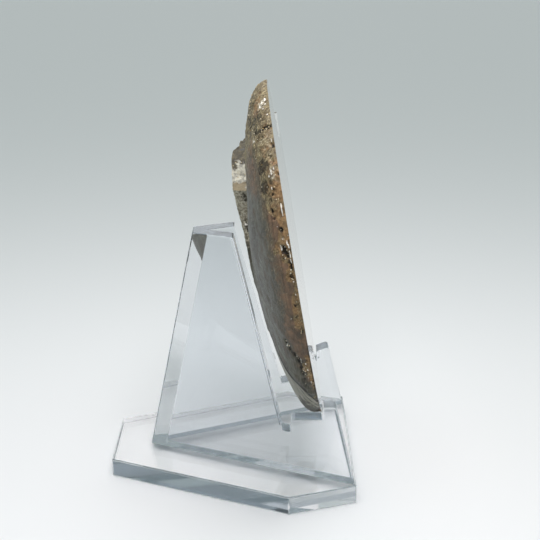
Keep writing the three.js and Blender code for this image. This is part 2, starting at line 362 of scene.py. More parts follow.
def make_ammonite():
    grid = coil_grid()
    coil, share, ids = grid["coil"], grid["share"], grid["ids"]
    rows, last, rim, cover = grid["rows"], grid["last"], grid["rim"], grid["cover"]
    radius = share * outer_radius(coil)
    height = section_height(share) * SIDE_RADIUS * np.exp(WIDTH_GROWTH * coil)
    smooth = coil_points(coil, radius, height)
    quads, quad_maps = grid_quads(grid)
    triangles = np.concatenate([quads[:, [0, 1, 2]], quads[:, [0, 2, 3]]])
    normals = vertex_normals(smooth, triangles)
    at_rim = grid["column"] == rim
    normals[at_rim, 0] = 0
    normals /= np.linalg.norm(normals, axis=1, keepdims=True)

    edge = np.interp(share, *edge_table()) * outer_radius(coil)
    looks = surface_looks(smooth, coil, share, edge)
    points = smooth + normals * looks["relief"][:, None]
    # The sawn edge stays in the cut plane, and all other skin behind it.
    points[at_rim, 0] = 0
    points[~at_rim, 0] = np.minimum(points[~at_rim, 0], -0.01)

    faces = [list(map(int, face)) for face in quads]
    slots = [SHELL_SLOT] * len(faces)
    maps = list(quad_maps.reshape(-1, 2))
    extra = []

    def add_extra(new):
        extra.append(new)
        return np.arange(len(new)) + len(points) + sum(map(len, extra[:-1]))

    def add_faces(found, slot, where):
        for face in found:
            faces.append([int(i) for i in face])
            slots.append(slot)
            maps.extend(where(i) for i in face)

    # Middle of the coil: a small dome over the first section.
    centre = smooth[ids[: grid["turn_steps"] + 1, 0]].mean(0) + [-0.3, 0, 0]
    (middle,) = add_extra(np.array([centre]))
    fan = [[middle, ids[row + 1, 0], ids[row, 0]] for row in range(grid["turn_steps"])]
    fan += [[middle, ids[0, column], ids[0, column + 1]] for column in range(cover)]
    add_faces(fan, SHELL_SLOT, lambda i: (grid["coil_of_row"][0] / FULL_TURN, 1))

    # The mouth's line on the cut face, from the new rim in to the whorl under it.
    new_rim, old_rim = outer_radius(COIL_END), outer_radius(grid["coil_of_row"][last])
    feet_radius = np.arange(new_rim - 0.5, old_rim + 0.3, -0.5)
    feet = add_extra(coil_points(np.full(len(feet_radius), COIL_END), feet_radius, np.zeros(len(feet_radius))))

    def on_flat_map(i):
        return everything[i][1] / FLAT_MAP_SIZE, everything[i][2] / FLAT_MAP_SIZE

    # Broken mouth, seen in the section's own plane: radius across, height up.
    loop = np.concatenate([ids[rows, : rim + 1], feet, ids[last, rim:cover:-1]])
    everything = np.concatenate([points] + extra)
    on_loop = everything[loop]
    outline = np.stack([np.hypot(on_loop[:, 1], on_loop[:, 2]), -on_loop[:, 0]], -1)
    in_break = inside_points(outline, *BREAK_POINTS, seed=3)
    break_points = coil_points(np.full(len(in_break), COIL_END), in_break[:, 0], in_break[:, 1])
    # The broken face is uneven and a little sunken.
    outward = np.array([0, np.sin(COIL_END), -np.cos(COIL_END)])
    break_points += outward * (0.9 * noise(break_points, 5.0, 41, 3) - 0.5)[:, None]
    break_numbers = add_extra(break_points)
    numbers = np.concatenate([loop, break_numbers])
    everything = np.concatenate([points] + extra)
    found = facing(outward, everything, numbers[fill_outline(outline, in_break)])
    add_faces(found, BREAK_SLOT, on_flat_map)

    # Cut face.
    loop = np.concatenate([ids[last:, rim], feet])
    outline = everything[loop][:, 1:]
    in_cut = inside_points(outline, *CUT_POINTS, seed=5)
    numbers = np.concatenate([loop, add_extra(np.column_stack([np.zeros(len(in_cut)), in_cut]))])
    everything = np.concatenate([points] + extra)
    found = facing(np.array([1, 0, 0]), everything, numbers[fill_outline(outline, in_cut)])
    add_faces(found, CUT_SLOT, on_flat_map)

    mesh = bpy.data.meshes.new("ammonite_half")
    mesh.from_pydata(placed(everything).tolist(), [], faces)
    mesh.polygons.foreach_set("material_index", slots)
    mesh.polygons.foreach_set("use_smooth", [True] * len(faces))
    coil_map = mesh.uv_layers.new(name="coil")
    coil_map.data.foreach_set("uv", np.array(maps, np.float32).ravel())
    on_break = break_looks(in_break[:, 0], in_break[:, 1], break_points)
    for name in LOOKS:
        values = np.zeros(len(everything))
        values[: len(points)] = looks[name]
        values[break_numbers] = on_break[name]
        values[feet] = name == "worn"
        layer = mesh.attributes.new(name, "FLOAT", "POINT")
        layer.data.foreach_set("value", values.astype(np.float32))
    mark_sharp(mesh)
    return add_object("ammonite_half", mesh)


def mark_sharp(mesh):
    """Edges between two materials are sharp: the sawn edge and the edge of the break."""
    slot = np.zeros(len(mesh.polygons), np.int32)
    mesh.polygons.foreach_get("material_index", slot)
    loop_edge = np.zeros(len(mesh.loops), np.int32)
    mesh.loops.foreach_get("edge_index", loop_edge)
    size = np.zeros(len(mesh.polygons), np.int32)
    mesh.polygons.foreach_get("loop_total", size)
    loop_slot = np.repeat(slot, size)
    low = np.full(len(mesh.edges), 9)
    high = np.full(len(mesh.edges), -1)
    np.minimum.at(low, loop_edge, loop_slot)
    np.maximum.at(high, loop_edge, loop_slot)
    sharp = mesh.attributes.new("sharp_edge", "BOOLEAN", "EDGE")
    sharp.data.foreach_set("value", low != high)


# Marks on the coiled side, as read along the near edge. Each is the coil angle in degrees, the distance from the
# sawn edge, the half lengths along and away from the edge, all in millimetres, and how strong it is.
# The glints are painted highlights: near-white colour where light flashed off small calcite facets, on specks of pale
# calcite.
PAINTED_GLINTS = [
    (-65, 1.2, 0.8, 0.28, 1), (-63.5, 2.4, 0.64, 0.28, 0.9), (-62, 3.4, 0.56, 0.33, 0.9), (-61.5, 1.2, 0.56, 0.28, 1),
    (-59, 2, 0.4, 0.22, 0.8), (-55, 0.9, 0.4, 0.22, 0.8), (-48, 8.2, 0.64, 0.28, 0.7), (-47, 9.6, 0.48, 0.22, 0.6),
    (-43, 0.8, 0.64, 0.22, 0.9), (-32.5, 1.3, 0.96, 0.19, 0.9), (-31.2, 2.2, 0.88, 0.22, 0.8),
    (-30, 3.2, 0.72, 0.19, 0.8), (-26, 2.9, 0.56, 0.19, 0.9), (-18.8, 0.9, 1.6, 0.22, 1), (-15, 3.6, 0.8, 0.19, 0.8),
    (-13.8, 3, 0.48, 0.17, 0.7), (-10, 1.9, 0.4, 0.22, 1), (-8.6, 0.9, 0.8, 0.25, 1), (-7.6, 0.6, 0.96, 0.17, 1),
    (-5.4, 0.5, 1.28, 0.17, 1), (-7.2, 3, 0.72, 0.17, 0.8), (-3, 0.5, 0.72, 0.17, 0.8), (7, 1, 0.4, 0.19, 0.9),
    (3.2, 0.8, 0.4, 0.17, 0.7), (15, 3.5, 0.3, 0.2, 0.6), (26.5, 7.4, 0.56, 0.22, 0.9), (29, 4.2, 0.4, 0.22, 0.9),
    (30.5, 2.8, 0.96, 0.17, 0.7), (33, 2.3, 0.64, 0.17, 0.7), (35, 2.8, 0.4, 0.17, 0.6), (38, 1.6, 0.4, 0.22, 0.7),
    (42, 1.4, 0.48, 0.17, 0.5), (172, 59, 3, 0.25, 0.7), (34, 1.2, 0.5, 0.2, 0.8), (40, 0.9, 0.4, 0.2, 0.8),
    (31.5, 1.6, 0.4, 0.2, 0.8),
]
DARKS = [
    (-57, 5.0, 3.2, 2.2, 0.6), (-49.2, 3.2, 1.1, 3.4, 1.0), (-50.5, 6.8, 2.0, 1.8, 0.7), (-54, 8.5, 1.8, 1.4, 0.5),
    (-43, 9.6, 3.0, 1.7, 0.6), (-34.5, 5.6, 3.0, 2.8, 0.9), (-31, 9.0, 2.2, 1.6, 0.4), (-27.5, 5.6, 3.0, 1.8, 0.9),
    (-28.5, 3.0, 1.4, 0.8, 0.7), (-25, 2.4, 1.0, 0.5, 0.6), (-23, 4.0, 0.8, 0.5, 0.9), (-19.4, 4.3, 0.7, 0.5, 0.9),
    (-12.8, 2.2, 0.8, 0.7, 1.0), (-6.6, 2.0, 1.3, 0.9, 1.0), (-5.2, 1.3, 0.9, 0.5, 0.9), (-3.2, 1.2, 1.0, 0.4, 0.8),
    (-1.5, 0.8, 1.5, 0.5, 0.8), (1.5, 1.2, 1.2, 0.5, 0.7), (4.5, 0.8, 0.8, 0.4, 0.5), (18.8, 0.9, 1.2, 0.4, 0.7),
    (25.5, 7.8, 1.2, 0.5, 0.9), (27.5, 5.6, 1.2, 0.6, 0.9), (29.5, 3.8, 1.2, 0.6, 0.9), (32, 3.2, 1.5, 0.5, 0.8),
    (36, 3.4, 1.6, 0.5, 0.7), (40, 3.2, 1.6, 0.5, 0.6), (-13, 12, 7, 2.2, 0.35), (-3, 9.0, 4.5, 2.0, 0.3),
    (9, 8.5, 5.5, 2.2, 0.3), (20, 13, 6, 2.2, 0.25), (200, 64, 6, 2.0, 0.9), (165, 59.8, 16, 2.2, 1.0),
    (125, 20, 22, 6, 0.3), (-72, 9, 7, 4.0, 0.5), (-60, 9.5, 7, 3.5, 0.55), (-57, 6.5, 5, 2.6, 0.6),
    (-49.2, 2.0, 1.2, 2.4, 0.45), (45, 0.2, 20, 0.45, 0.9), (63, 1.6, 0.8, 1.4, 0.8), (64, 4, 9, 5, 0.95),
    (-40, 13, 7, 3.0, 0.4),
]
WARMS = [
    (-66, 4.0, 3.4, 3.0, 0.7), (-62, 6.0, 3.0, 3.0, 0.9), (-44, 3.0, 5.5, 3.0, 0.2), (-34.5, 5.6, 1.8, 1.6, 0.5),
    (-24, 1.2, 9.0, 1.5, 0.9), (-20, 3.2, 7.0, 2.0, 0.6), (-11, 3.6, 8.0, 2.6, 0.8), (-3, 4.4, 6.0, 2.4, 0.6),
    (8, 3.6, 10.0, 3.0, 0.5), (19, 3.8, 8.5, 3.2, 0.7), (25, 1.6, 6.5, 1.6, 0.8), (32, 0.8, 6.0, 0.8, 0.9),
    (38, 0.7, 6.0, 0.6, 0.6), (-27.5, 6.0, 2.0, 1.2, 0.5), (120, 6, 30, 5, 0.5), (165, 9, 26, 7, 0.6),
    (-37, 14, 10, 6.0, 0.6), (-50, 15, 7, 6.0, 0.55),
]
PALES = [
    (-63, 2.4, 3.4, 1.8, 0.9), (-60.5, 4.6, 1.6, 1.4, 0.6), (-44, 2.6, 4.8, 2.6, 0.35), (-39, 1.6, 2.0, 1.2, 0.3),
    (-49.5, 9.4, 2.2, 1.2, 0.6), (-31.2, 2.2, 1.8, 1.0, 0.8), (187, 60.5, 3.5, 3, 0.7), (203, 59, 4.0, 3, 0.6),
    (172, 16, 16, 5, 0.4), (150, 34, 12, 5, 0.35), (198, 0, 14, 1.2, 1.0),
]
PITS = [
    (-54, 2.6, 1.0, 0.7, 0.5), (-49, 2.4, 0.9, 2.4, 1.0), (-41, 0.7, 0.9, 0.5, 0.8), (-26.8, 4.6, 0.8, 0.6, 0.6),
    (-24, 3.2, 0.6, 0.5, 0.7), (-22.4, 4.2, 0.7, 0.5, 1.0), (-19, 4.2, 0.6, 0.5, 1.0), (-16.5, 3.8, 0.6, 0.5, 0.7),
    (-12.8, 2.2, 0.8, 0.7, 1.0), (-6.5, 2.0, 1.2, 0.9, 1.3), (-4.9, 1.2, 0.9, 0.5, 1.0), (-1.5, 0.7, 1.4, 0.4, 0.9),
    (1.6, 1.1, 1.1, 0.5, 0.8), (18.8, 0.8, 1.2, 0.4, 0.7), (25.5, 8.0, 1.4, 0.7, 0.9), (27.2, 6.4, 1.2, 0.8, 0.9),
    (28.8, 4.8, 1.2, 0.8, 1.0), (30.5, 3.6, 1.5, 0.8, 1.0), (33.5, 3.2, 1.3, 0.7, 0.9), (36, 3.0, 1.6, 0.6, 0.8),
    (39, 2.8, 1.3, 0.6, 0.7), (42, 2.6, 1.2, 0.5, 0.6),
]


def spread(marks, degrees, edge, reach, wander):
    """How strongly a list of marks covers each point, from 0 to 1."""
    cover = np.zeros(len(edge))
    for angle, away, long, wide, strength in marks:
        turn = (degrees - angle + 180) % 360 - 180
        along = np.radians(turn) * reach
        distance = np.hypot(along / long, (edge - away) / wide) + wander
        cover = np.maximum(cover, strength * (1 - smoothstep(distance, 0.55, 1.25)))
    return cover


def surface_looks(p, coil, share, edge):
    """Relief in millimetres and the spread of each colour on the coiled side."""
    degrees = np.degrees(coil)
    reach = outer_radius(coil)
    last_whorl = (degrees > np.degrees(COIL_END) - 360).astype(float)
    fine = 0.42 * noise(p, 1.3, 21, 2)
    rough = 0.4 * noise(p, 2.8, 22, 3)

    relief = 0.28 * noise(p, 18, 1, 2) + 0.08 * noise(p, 6, 2)
    around = np.stack([degrees * 1.25, edge / 9, edge * 0], -1)
    relief += (0.04 + 0.05 * smoothstep(degrees, 5, 30)) * noise(around, 2.4, 3, 2)
    # How far in from the sawn edge the skin is weathered off, at coil angles all round the last whorl.
    peel_reach = np.interp(
        degrees,
        [-154, -110, -80, -60, -52, -44, -38, -30, -22, -8, 2, 24, 32, 46, 60, 90, 120, 150, 180, 207],
        [6, 12, 22, 26, 24, 14, 8, 7.0, 6.0, 4.2, 0.9, 0.5, 1.8, 0.7, 0.2, 2.5, 3.5, 2, 6, 9],
    )
    away = edge + 2.2 * noise(p, 6.0, 5, 3) + 1.0 * noise(p, 1.8, 6)
    soft = np.interp(degrees, [-80, -60, -50, -35, -22], [0.5, 2.0, 4.0, 3.0, 0.5])
    crust = last_whorl * (1 - smoothstep((away - peel_reach) / soft, -1, 1))
    crust *= 1 - 0.5 * smoothstep(edge, 6, 11) * smoothstep(degrees, -64, -50)
    # Crust on the inner wall under the mouth.
    inner = last_whorl * smoothstep(degrees + 10 * rough, 130, 160) * smoothstep(edge, 48, 53)
    crust = np.maximum(crust, 0.45 * inner)
    relief += crust * (-0.12 + 0.16 * noise(p, 1.7, 7, 2) + 0.1 * noise(p, 4.5, 17, 2))
    # Further in, the skin is only worn.
    worn_reach = np.interp(degrees, [-42, -24], [26, 6])
    worn = np.interp(degrees, [-154, -70, -38, -10, 5, 30], [0.6, 1, 1, 0.9, 0.6, 0])
    worn *= last_whorl * (1 - smoothstep(away, worn_reach, worn_reach + 7))
    relief += 0.09 * worn * noise(p, 1.6, 27, 2)
    # The corner of the flank is knocked off beside the mouth.
    relief -= 1.1 * last_whorl * smoothstep(degrees, 185, 203) * np.exp(-(((share - 0.62) / 0.06) ** 2))

    # The marks read in the photograph, and small pits scattered over the crust. The glints among them are painted
    # highlights on specks of pale calcite.
    glint = last_whorl * spread(PAINTED_GLINTS, degrees, edge, reach, fine)
    dark = last_whorl * spread(DARKS, degrees, edge, reach, rough)
    warm = last_whorl * spread(WARMS, degrees, edge, reach, rough)
    pale = last_whorl * spread(PALES, degrees, edge, reach, rough)
    pale = np.maximum(pale, inner * (np.interp(degrees, [168, 192], [0.45, 0.95]) + 0.25 * noise(p, 3.5, 29, 2)))
    pits = last_whorl * spread(PITS, degrees, edge, reach, fine)
    scattered = smoothstep(noise(p, 1.7, 8, 2), 0.5, 0.8) * crust * (1 - smoothstep(edge, 3, 12))
    pits = np.maximum(pits, 0.5 * scattered)
    relief += 0.25 * glint * (1 - pits) - 0.5 * pits
    # Rust stain along the sawn edge.
    stain_reach = np.interp(degrees, [14, 25, 40, 50], [12, 8, 2.5, 0.7])
    stain = np.interp(degrees, [-60, -25], [0.3, 0.75]) * (1 - smoothstep((edge + rough * 2) / stain_reach, 0.1, 1))
    warm = np.maximum(warm, last_whorl * stain)

    # A line of stopped growth, and the smoother shell laid down after it, which is coloured lighter: partly its own
    # paler tone, partly painted light from the pale table below.
    bend = RIDGE_AT + 9.0 * np.exp(-(np.maximum(edge, 0.6) - 1) / 2.5) + 10.0 * smoothstep(edge, 20, 38)
    bend += 0.6 * noise(p, 7, 23)
    past = np.radians(degrees - bend) * reach
    later_shell_and_light = smoothstep(past, -0.3, 0.5) * (1 - smoothstep(degrees, 84, 104)) * last_whorl
    line = 1.1 * np.exp(-(((past + 1.3) / 1.1) ** 2)) * last_whorl * (1 - 0.7 * smoothstep(edge, 22, 36))
    # Finer growth lines run beside it, on both sides.
    apart = np.where(past > 0, np.interp(edge, [0, 4, 12, 25], [4.6, 3.6, 2.6, 2.2]), 2.2)
    ripple = np.cos(FULL_TURN * (past + 0.9 * noise(p, 5, 24, 2)) / apart)
    beside = smoothstep(past, -11, -4) * (1 - smoothstep(past, 12, 26)) * last_whorl
    beside *= (1 - 0.75 * smoothstep(edge, 9, 20)) * (0.85 + 0.25 * noise(p, 4, 25))
    line = np.maximum(line, smoothstep(ripple, 0.0, 0.95) * beside * np.where(past > 0, 0.8, 0.6))
    relief += -0.3 * later_shell_and_light * np.exp(-np.maximum(past, 0) / 14) - 0.15 * line
    relief -= 0.6 * later_shell_and_light * smoothstep(past, 0.5, 8) * smoothstep(edge, 3, 10)
    # Crystals stand in the pits and on the glints, and a few on the crust.
    crystals = np.clip(0.1 * crust + 0.8 * pits + 0.6 * glint, 0, 1) * last_whorl
    crystals *= smoothstep(edge, 0.5, 0.9) * (1 - smoothstep(edge, 8, 16))
    return dict(
        relief=relief, crust=crust, worn=worn, pits=pits, glint=glint, dark=dark, warm=warm, pale=pale, later_shell_and_light=later_shell_and_light,
        line=line, crystals=crystals,
    )


def break_looks(radius, height, p):
    """The same spreads on the broken mouth, by distance from the coil's axis and from the cut face."""
    rough = 0.9 * noise(p, 2.6, 51, 3)
    pale = 1 - smoothstep(np.hypot((radius - 30.2) / 3.8, (height - 14) / 7) + 0.8 * rough, 0.5, 1.2)
    dark = 1 - smoothstep(np.hypot((radius - 43.0) / 3.2, (height - 11.5) / 3.5) + 0.6 * rough, 0.7, 1.3)
    sawn = 1 - smoothstep(height, 1.6, 2.2)
    looks = {name: np.zeros(len(radius)) for name in LOOKS}
    warm = 1 - smoothstep(radius + 1.5 * rough, 26.5, 29)
    looks.update(pale=pale, dark=dark, warm=warm, worn=sawn, crystals=0.4 * pale)
    return looks


# Clear stand


def extruded(outline, low, high, turn=None):
    """A prism over a plan outline, as a bmesh, in millimetres."""
    bm = bmesh.new()
    foot = [bm.verts.new((x, y, low)) for x, y in outline]
    top = [bm.verts.new((x, y, high)) for x, y in outline]
    count = len(outline)
    bm.faces.new(foot[::-1])
    bm.faces.new(top)
    for i in range(count):
        j = (i + 1) % count
        bm.faces.new((foot[i], foot[j], top[j], top[i]))
    if turn is not None:
        bm.transform(turn)
    bmesh.ops.recalc_face_normals(bm, faces=bm.faces)
    return bm


def as_object(name, bm):
    mesh = bpy.data.meshes.new(name)
    bm.to_mesh(mesh)
    bm.free()
    return add_object(name, mesh)


def finished_copy(obj, name):
    """A plain mesh object made from what an object's modifiers give."""
    view = bpy.context.evaluated_depsgraph_get()
    mesh = bpy.data.meshes.new_from_object(obj.evaluated_get(view))
    mesh.name = name
    return add_object(name, mesh)


def drop(*objects):
    for obj in objects:
        bpy.data.objects.remove(obj)


def polish_edges(obj, width, segments, angle=None):
    """Rounds an object's edges, those sharper than an angle or else those with a bevel weight."""
    bevel = obj.modifiers.new("edges", "BEVEL")
    bevel.width = width * MM
    bevel.segments = segments
    bevel.limit_method = "WEIGHT" if angle is None else "ANGLE"
    bevel.angle_limit = angle or 0
    bevel.miter_outer = "MITER_ARC" if angle is None else "MITER_SHARP"
    bevel.harden_normals = angle is not None


def to_row(bm):
    """From millimetres behind the base plate's rear edge to the row frame in metres."""
    bm.transform(Matrix.Diagonal((MM, MM, MM, 1)) @ Matrix.Translation((-BASE_LENGTH / 2, 0, 0)))


def make_base(footprint):
    """The base plate. The part of its top that the upright is welded to is a face of its own."""
    outline = BASE_OUTLINE + [(x, -y) for x, y in reversed(BASE_OUTLINE)]
    bm = extruded(outline, 0, SHEET)
    to_row(bm)
    rough = as_object("base_rough", bm)
    polish_edges(rough, EDGE_ROUND, 3, math.radians(30))
    base = finished_copy(rough, "base_plate")
    drop(rough)

    bm = bmesh.new()
    bm.from_mesh(base.data)
    top = max(bm.faces, key=lambda face: face.calc_center_median().z + face.calc_area())
    rim = list(top.verts)
    level = rim[0].co.z
    points = [v.co.xy for v in rim] + [Vector(p) for p in footprint]
    loops = [list(range(len(rim))), list(range(len(rim), len(points)))]
    found = delaunay_2d_cdt(points, [], loops, 1, 1e-9)
    corners = []
    for place, ids in zip(found[0], found[3]):
        old = [i for i in ids if i < len(rim)]
        corners.append(rim[old[0]] if old else bm.verts.new((place.x, place.y, level)))
    bmesh.ops.delete(bm, geom=[top], context="FACES_ONLY")
    for face, ids in zip(found[2], found[5]):
        made = bm.faces.new([corners[i] for i in face])
        made.material_index = WELD_SLOT if 1 in ids else 0
    bm.normal_update()
    for face in bm.faces:
        # The near long side gets a grey tint: saw haze and painted shade.
        if face.normal.y < -0.85 and face.calc_area() > SAWN_AREA * MM * MM:
            face.material_index = SAWN_SHADED_SLOT
    bm.to_mesh(base.data)
    bm.free()
    return base


def upright_plan():
    """A V seen from above, with its point cut to a narrow web."""
    reach = BASE_LENGTH + UPRIGHT_REAR
    half_web = WEB_WIDTH / 2
    outer = half_web + math.tan(ARM_SPREAD) * reach
    across = SHEET / math.cos(ARM_SPREAD)
    crease = (across - half_web) / math.tan(ARM_SPREAD)
    half = [(0, half_web), (reach, outer), (reach, outer - across)]
    return half + [(crease, 0)] + [(x, -y) for x, y in reversed(half)]


def upright_profile():
    """Side view: long slope, notch, tilted ledge and the lip that the fossil stands against."""
    bottom = SHEET - FOOT_SPARE
    rise = math.tan(LEDGE_TILT)
    foot_front = ARM_FRONT_FOOT + FOOT_SPARE * ARM_FRONT_LEAN
    ledge_front_z = LEDGE_REAR[1] + (LEDGE_FRONT - LEDGE_REAR[0]) * rise
    lip_top = ledge_front_z + LIP_HEIGHT
    lip_front = LEDGE_FRONT + LIP_DEPTH
    return [
        (-BASE_LENGTH, bottom),
        (foot_front, bottom),
        (lip_front, lip_top + LIP_DEPTH * rise),
        (LEDGE_FRONT, lip_top),
        (LEDGE_FRONT, ledge_front_z),
        LEDGE_REAR,
        (LEDGE_REAR[0], SLOPE_FOOT[1]),
        SLOPE_FOOT,
        (TOP_FRONT, UPRIGHT_TOP),
        (-BASE_LENGTH, UPRIGHT_TOP),
    ]


def make_upright():
    lean = math.tan(REAR_LEAN)
    shear = Matrix.Identity(4)
    shear[0][2] = lean
    shear[0][3] = UPRIGHT_REAR - SHEET * lean
    vee = extruded(upright_plan(), 0, UPRIGHT_TOP + SHEET, shear)
    to_row(vee)
    width = 60
    stand_up = Matrix(((1, 0, 0, 0), (0, 0, 1, 0), (0, 1, 0, 0), (0, 0, 0, 1)))
    side = extruded(upright_profile(), -width, width, stand_up)
    to_row(side)
    vee, side = as_object("vee", vee), as_object("side", side)
    cut = vee.modifiers.new("cut", "BOOLEAN")
    cut.operation = "INTERSECT"
    cut.solver = "EXACT"
    cut.object = side
    rough = finished_copy(vee, "upright_rough")
    drop(vee, side)

    bm = bmesh.new()
    bm.from_mesh(rough.data)
    bmesh.ops.remove_doubles(bm, verts=bm.verts, dist=1e-6)
    bmesh.ops.dissolve_limit(bm, angle_limit=math.radians(0.2), verts=bm.verts, edges=bm.edges)
    weight = bm.edges.layers.float.new("bevel_weight_edge")
    lip_front = (LEDGE_FRONT + LIP_DEPTH - BASE_LENGTH / 2) * MM
    for edge in bm.edges:
        ends = [v.co for v in edge.verts]
        on_lip = all(abs(p.x - lip_front) < 2e-5 for p in ends)
        along = (ends[0] - ends[1]).normalized()
        on_web = abs(along.z) > 0.9 and max(abs(p.y) for p in ends) < (WEB_WIDTH / 2 + 0.1) * MM
        behind = max(p.x for p in ends) < MM and all(abs(p.y) > MM for p in ends)
        edge[weight] = 1.0 if on_lip else WEB_ROUND / LIP_ROUND if on_web and behind else 0.0
    bm.to_mesh(rough.data)
    bm.free()
    polish_edges(rough, LIP_ROUND, 7)
    polish_edges(rough, EDGE_ROUND, 3, math.radians(25))
    upright = finished_copy(rough, "upright_arms")
    drop(rough)

    # Cut square at the foot, where the weld is.
    bm = bmesh.new()
    bm.from_mesh(upright.data)
    level = (SHEET + GLUE_LINE) * MM
    everything = bm.verts[:] + bm.edges[:] + bm.faces[:]
    cut = bmesh.ops.bisect_plane(bm, geom=everything, plane_co=(0, 0, level), plane_no=(0, 0, 1), clear_inner=True)
    edges = [item for item in cut["geom_cut"] if isinstance(item, bmesh.types.BMEdge)]
    foot = bmesh.ops.edgeloop_fill(bm, edges=edges)["faces"][0]
    foot.material_index = WELD_SLOT
    foot.smooth = False
    if foot.normal.z > 0:
        foot.normal_flip()
    footprint = [tuple(v.co.xy) for v in reversed(foot.verts)]
    bm.to_mesh(upright.data)
    bm.free()
    return upright, footprint


# Materials

# The property that the word after a node's kind sets
MAIN_SETTING = {
    "Math": "operation", "VectorMath": "operation", "MapRange": "interpolation_type", "Mix": "data_type",
    "TexWhiteNoise": "noise_dimensions", "Mapping": "vector_type",
    "FunctionNodeRandomValue": "data_type", "GeometryNodeInputNamedAttribute": "data_type",
}


def linear(value):
    return value / 12.92 if value <= 0.04045 else ((value + 0.055) / 1.055) ** 2.4


def colour(code):
    """An sRGB hex code as linear red, green, blue and alpha."""
    return tuple(linear(int(code[i : i + 2], 16) / 255) for i in (0, 2, 4)) + (1.0,)


def add(tree, kind, *values, out=0, **settings):
    """Adds one node with its settings and links, and gives back one of its outputs, or all where out is None.

    A word after the kind is its main setting. Inputs are given in order, or in one dict by name or number, each as
    a number, a hex colour or another node's output.
    """
    kind, _, word = kind.partition(" ")
    node = tree.nodes.new(kind if "Node" in kind else "ShaderNode" + kind)
    if word:
        settings[MAIN_SETTING[kind]] = word
    for name, value in settings.items():
        setattr(node, name, value)
    inputs = values[0] if values and isinstance(values[0], dict) else dict(enumerate(values))
    for key, value in inputs.items():
        if isinstance(value, bpy.types.NodeSocket):
            tree.links.new(value, node.inputs[key])
        else:
            socket = node.inputs[key]
            socket.default_value = colour(value) if isinstance(value, str) and socket.type == "RGBA" else value
    return node.outputs if out is None else node.outputs[out]


def lay_coats(tree, tone, *coats):
    """Lays coats of colour over a tone. Each is its field, its edge's two bounds, its least and most, its colour."""
    for field, start, stop, least, most, shade in coats:
        cover = add(tree, "MapRange SMOOTHSTEP", field, start, stop, least, most)
        tone = add(tree, "Mix RGBA", {0: cover, 6: tone, 7: shade}, out=2)
    return tone


def new_material(name, surface, volume=None):
    """A material from the settings of its surface shader, or from a function that builds them in its node tree."""
    material = bpy.data.materials.new(name)
    material.use_nodes = True
    tree = material.node_tree
    tree.nodes.clear()
    ends = {"Surface": add(tree, "BsdfPrincipled", surface(tree) if callable(surface) else surface)}
    if volume:
        ends["Volume"] = add(tree, "VolumeAbsorption", volume)
    add(tree, "OutputMaterial", ends, out=None)
    return material


def in_millimetres(tree):
    source = add(tree, "TexCoord", out="Object")
    return add(tree, "Mapping", {0: source, 3: (1000, 1000, 1000)})


def make_fields(tree, patterns):
    """Noise fields by name. Each has what it follows, its lumps per unit each way, detail, roughness and warp."""
    fields = {}
    for name, (source, scale, detail, roughness, warp) in patterns.items():
        where = add(tree, "Mapping", {0: source, 3: scale if isinstance(scale, tuple) else (scale,) * 3})
        settings = {"Vector": where, "Scale": 1.0, "Detail": detail, "Roughness": roughness, "Distortion": warp}
        fields[name] = add(tree, "TexNoise", settings)
    return fields


def ragged_marks(tree, fields, edges):
    """Surface marks by name, their edges broken up. Each has the field that does so, and how far it goes in and out."""
    marks = {}
    for name, (field, inward, outward) in edges.items():
        shake = add(tree, "MapRange SMOOTHSTEP", fields[field], 0.3, 0.7, inward, outward)
        marks[name] = add(tree, "Math ADD", add(tree, "Attribute", attribute_name=name, out="Fac"), shake)
    return marks


# Cast acrylic sheet, cut and flame polished: clear as water, with a faint blue-grey where the way through is long.
CLEAR = {"Base Color": "ffffff", "Roughness": 0.012, "IOR": 1.49, "Transmission Weight": 1.0}
DEPTH = {"Color": "c9d0d8", "Density": 6.0}
# The near long side of the base plate keeps some grey haze of the saw under the flame polish. Its grey tint is also
# painted shade: only this side is darkened, standing in for the dark room it reflects.
SAWN_AND_SHADED = {"Base Color": "a6b3bc", "Roughness": 0.13, "IOR": 1.49, "Transmission Weight": 1.0}
# The upright has been handled more: fine wiping haze on each face takes a little light.
HANDLED = {"Base Color": "f5f7f9", "Roughness": 0.014, "IOR": 1.49, "Transmission Weight": 1.0}
# A solvent weld makes two acrylic sheets one body: light goes straight through where they meet, and fine bubbles
# in the weld show as a soft grey band.
WELD = {"Base Color": "dde3e6", "Roughness": 0.0, "IOR": 1.0, "Transmission Weight": 0.78}
# The table: pale, even and nearly without shine, so that only the stand's own soft shadow shows on it.
PALE_TABLE = {"Base Color": "e8eaea", "Roughness": 0.65, "Specular IOR Level": 0.15}


